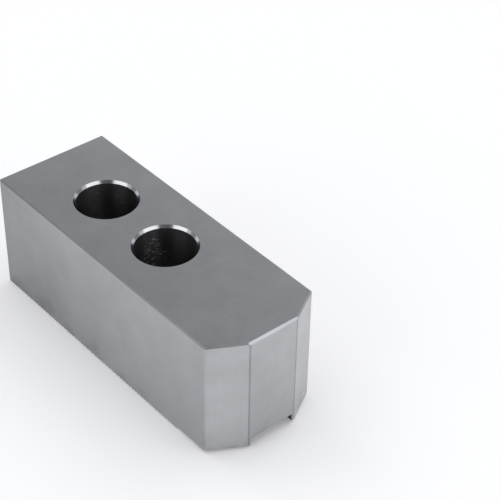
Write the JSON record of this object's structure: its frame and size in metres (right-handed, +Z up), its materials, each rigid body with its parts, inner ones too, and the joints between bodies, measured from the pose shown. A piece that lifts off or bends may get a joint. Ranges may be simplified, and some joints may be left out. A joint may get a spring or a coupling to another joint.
{
  "type": "machinable soft jaw",
  "caption": "Long steel top jaw for a lathe chuck, with a faceted nose, counterbored bolt holes and a base with serrated rails beside a tenon slot.",
  "frame": {"origin": "bottom centre: on the tips of the serrations, half way along and half way across the jaw", "axes": "+X from the back face towards the faceted nose, Y across the jaw, +Z up from the serrated base to the face with the counterbores"},
  "size_m": [0.11, 0.04, 0.041],
  "materials": {
    "machined_steel": "ground outside faces, milled slot and rails, drilled bores"
  },
  "bodies": {
    "root": {"soft_jaw": "machined_steel"}
  },
  "joints": []
}
